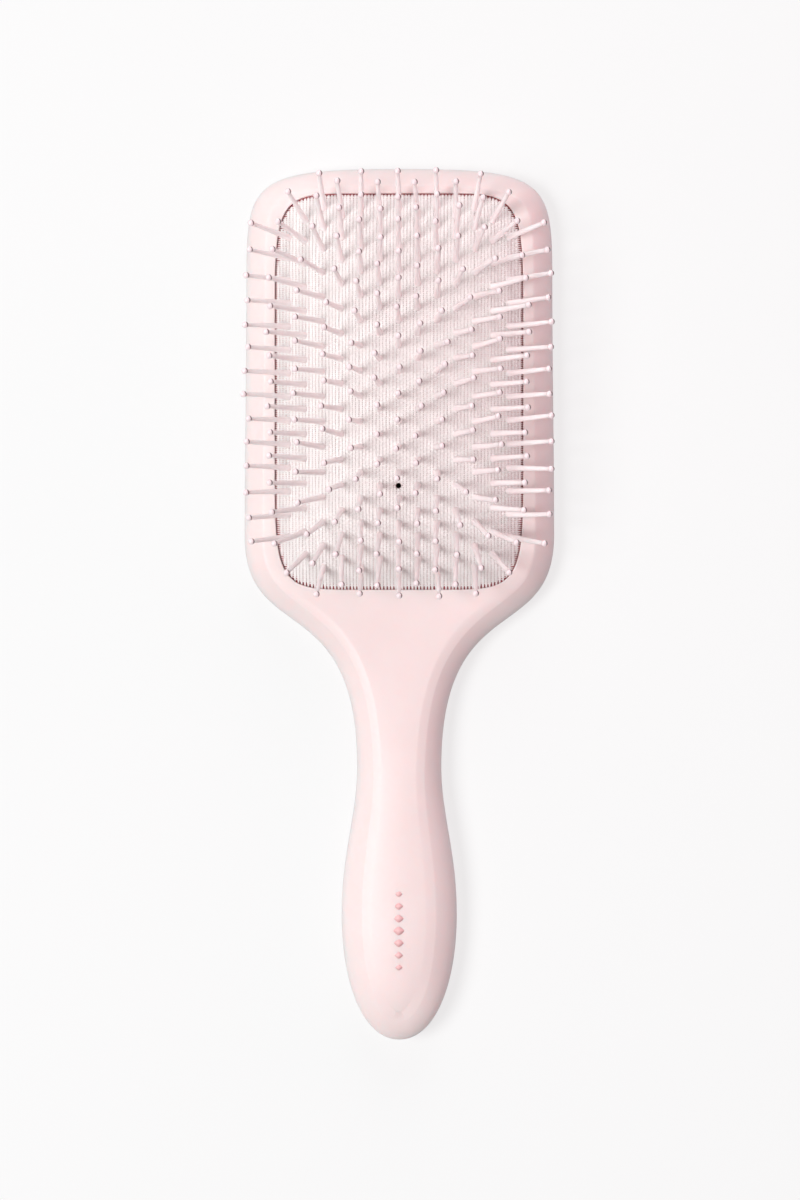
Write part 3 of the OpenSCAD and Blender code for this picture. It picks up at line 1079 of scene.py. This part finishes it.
for body, pins in pin_groups.items():
    nodes = frame["record"]["behaviour"]["bodies"][body]
    pin_group_mesh(pins).build("nylon_" + nodes[0], [SHAFT, TIP], body, "pins", nodes)

# ---------------------------------------------------------------- printed mark
# Y of the first and last lozenge, half width, and half length per spacing
MARK_Y, MARK_COUNT = (-140.5, -161.0), 7
MARK_HALF_W, MARK_HALF_L = 1.5, 0.36
# Share by which each is smaller than the one nearer the middle
MARK_SHRINK = 0.12
# A power over 1 draws a circle's sides in towards a lozenge
MARK_POWER, MARK_SIDES = 1.5, 24
INK_T, INK_SINK = 0.035, 0.05


def crown_z(x, y):
    """Height of the front crown at a point on the handle."""
    y = np.asarray(y, float)
    half = np.interp(-y, -CREST[:, 1], CREST[:, 0])
    share = np.interp(-y, -CREST[:, 1], CROWN_SHARE)
    return front_edge_z(y) + FRONT_CROWN * share * (1 - (x / half) ** 2)


def mark_mesh():
    """A plain row of lozenges, printed along the grip."""
    build = Builder()
    spacing = (MARK_Y[1] - MARK_Y[0]) / (MARK_COUNT - 1)
    across, along = (np.sign(v) * np.abs(v) ** MARK_POWER for v in circle(MARK_SIDES))
    for k in range(MARK_COUNT):
        size = 1 - MARK_SHRINK * abs(k - MARK_COUNT // 2)
        middle = MARK_Y[0] + spacing * k
        x = MARK_HALF_W * size * across
        y = middle + abs(spacing) * MARK_HALF_L * size * along
        low, high = (build.add(np.column_stack([x, y, crown_z(x, y) + z]))
                     for z in (-INK_SINK, INK_T))
        top, under = (build.add([[0, middle, crown_z(0, middle) + z]])
                      for z in (INK_T, -INK_SINK))
        build.band(low, high, MARK_SIDES)
        build.fan(high, MARK_SIDES, top)
        build.fan(low, MARK_SIDES, under, reverse=True)
    return build


mark_mesh().build("printed_lozenges", [INK], ROOT, "body")

# --------------------------------------------------------------------- own mesh data for the soft parts
for soft in (rubber, weave):
    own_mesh(soft)

# ------------------------------------------------------------- floor and light
# From here on in metres
FLOOR_HALF, FLOOR_DROP = 4.0, 0.0002
# Strength and tint of the light from all round
SKY, SKY_TINT = 0.21, (1.0, 0.94, 0.945)

floor_mesh = bpy.data.meshes.new("floor")
corners = ((-1, -1), (1, -1), (1, 1), (-1, 1))
floor_mesh.from_pydata(
    [(x * FLOOR_HALF, y * FLOOR_HALF, 0) for x, y in corners], [], [(0, 1, 2, 3)])
floor_mesh.materials.append(floor_material())
floor = add_object("floor", floor_mesh)
floor.location.z = -FLOOR_DROP

world = bpy.data.worlds.new("studio")
bpy.context.scene.world = world
world.use_nodes = True
sky = world.node_tree.nodes["Background"]
sky.inputs["Color"].default_value = (*SKY_TINT, 1)
sky.inputs["Strength"].default_value = SKY


def area_light(name, place, size, power, colour):
    """Round light that faces the brush."""
    data = bpy.data.lights.new(name, "AREA")
    data.shape = "DISK"
    data.size = size
    data.energy = power
    data.color = colour
    light = add_object(name, data)
    light.location = place
    light.rotation_euler = (AIM - Vector(place)).to_track_quat("-Z", "Y").to_euler()


AIM = Vector((0, -0.04, 0))
KEY_WAY, KEY_AWAY = Vector((-0.46, -0.08, 0.88)), 1.6
# Name, place, diameter, watts, colour
area_light("key", AIM + KEY_WAY * KEY_AWAY, 0.7, 21.2, (0.99, 1.0, 1.0))
area_light("top_fill", (0.1, 1.2, 0.6), 1.0, 7, WHITE)
area_light("blush_fill", (0.7, 0.3, 0.27), 0.42, 1.1, (1.0, 0.38, 0.53))

# ---------------------------------------------------------------------- camera
# Sensor width in millimetres, and the height the picture spans at the distance
SENSOR, VIEW_HEIGHT, DISTANCE = 36.0, 0.338, 1.03
# The camera stands a little to the right of straight above
SWING = math.radians(0.8)
LOOK_AT = Vector((0.0002, -0.0584, HEAD_PARTING * MM))
camera_data = bpy.data.cameras.new("camera")
camera_data.sensor_width = SENSOR
camera_data.lens = SENSOR * DISTANCE / VIEW_HEIGHT
camera = add_object("camera", camera_data)
camera.location = LOOK_AT + Vector((math.sin(SWING), 0, math.cos(SWING))) * DISTANCE
camera.rotation_euler = (0, SWING, 0)
bpy.context.scene.camera = camera
bpy.context.scene.view_settings.view_transform = "Standard"
